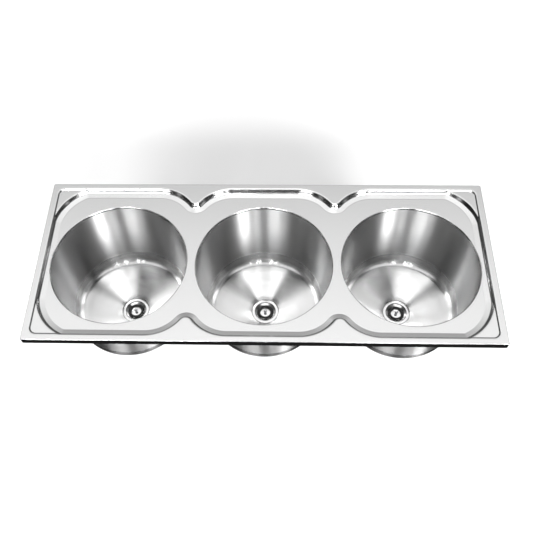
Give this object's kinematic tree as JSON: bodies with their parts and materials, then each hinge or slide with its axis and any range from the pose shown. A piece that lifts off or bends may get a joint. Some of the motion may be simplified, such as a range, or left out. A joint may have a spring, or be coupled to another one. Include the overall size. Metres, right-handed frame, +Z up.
{
  "type": "three compartment sink",
  "caption": "Stainless inset sink top with deep round drawn bowls in a stepped pressed deck, lift-out strainer plugs, and wastes below.",
  "frame": {"origin": "centre of the deck's outline on the plane that the rim rests on", "axes": "+X along the deck to the right, +Y to its back edge, +Z up out of the bowls"},
  "size_m": [1.18, 0.48, 0.359],
  "materials": {
    "deck_steel": "satin stainless sheet",
    "bowl_steel": "satin deep-drawn stainless",
    "waste_steel": "polished stainless pressing",
    "knob_chrome": "mirror chrome",
    "screw_steel": "bright stainless screw",
    "clip_steel": "zinc-plated steel strip",
    "rail_steel": "mill-finish stainless channel",
    "insert_brass": "turned brass",
    "seal_rubber": "black moulded rubber",
    "gasket_rubber": "black flat rubber",
    "seal_foam": "grey closed-cell foam",
    "waste_plastic": "white moulded polypropylene"
  },
  "bodies": {
    "root": {"deck": "deck_steel", "bowl_left": "bowl_steel", "flange_gasket_left": "gasket_rubber", "strainer_dish_left": "waste_steel", "under_gasket_left": "gasket_rubber", "waste_body_left": "waste_plastic", "insert_nut_left": "insert_brass", "clamp_screw_left": "screw_steel", "bowl_middle": "bowl_steel", "flange_gasket_middle": "gasket_rubber", "strainer_dish_middle": "waste_steel", "under_gasket_middle": "gasket_rubber", "waste_body_middle": "waste_plastic", "insert_nut_middle": "insert_brass", "clamp_screw_middle": "screw_steel", "bowl_right": "bowl_steel", "flange_gasket_right": "gasket_rubber", "strainer_dish_right": "waste_steel", "under_gasket_right": "gasket_rubber", "waste_body_right": "waste_plastic", "insert_nut_right": "insert_brass", "clamp_screw_right": "screw_steel", "clip_rail_front": "rail_steel", "clip_rail_back": "rail_steel", "fixing_clips": "clip_steel", "clip_screws": "screw_steel", "rim_seal": "seal_foam"},
    "basket_body_left": {"basket_seal_left": "seal_rubber", "basket_left": "waste_steel", "basket_knob_left": "knob_chrome"},
    "basket_body_middle": {"basket_seal_middle": "seal_rubber", "basket_middle": "waste_steel", "basket_knob_middle": "knob_chrome"},
    "basket_body_right": {"basket_seal_right": "seal_rubber", "basket_right": "waste_steel", "basket_knob_right": "knob_chrome"}
  },
  "joints": [
    {"name": "basket_left_lift", "type": "slide", "parent": "root", "child": "basket_body_left", "axis": [0, 0, 1], "range_m": [0, 0.32]},
    {"name": "basket_middle_lift", "type": "slide", "parent": "root", "child": "basket_body_middle", "axis": [0, 0, 1], "range_m": [0, 0.32]},
    {"name": "basket_right_lift", "type": "slide", "parent": "root", "child": "basket_body_right", "axis": [0, 0, 1], "range_m": [0, 0.32]}
  ]
}
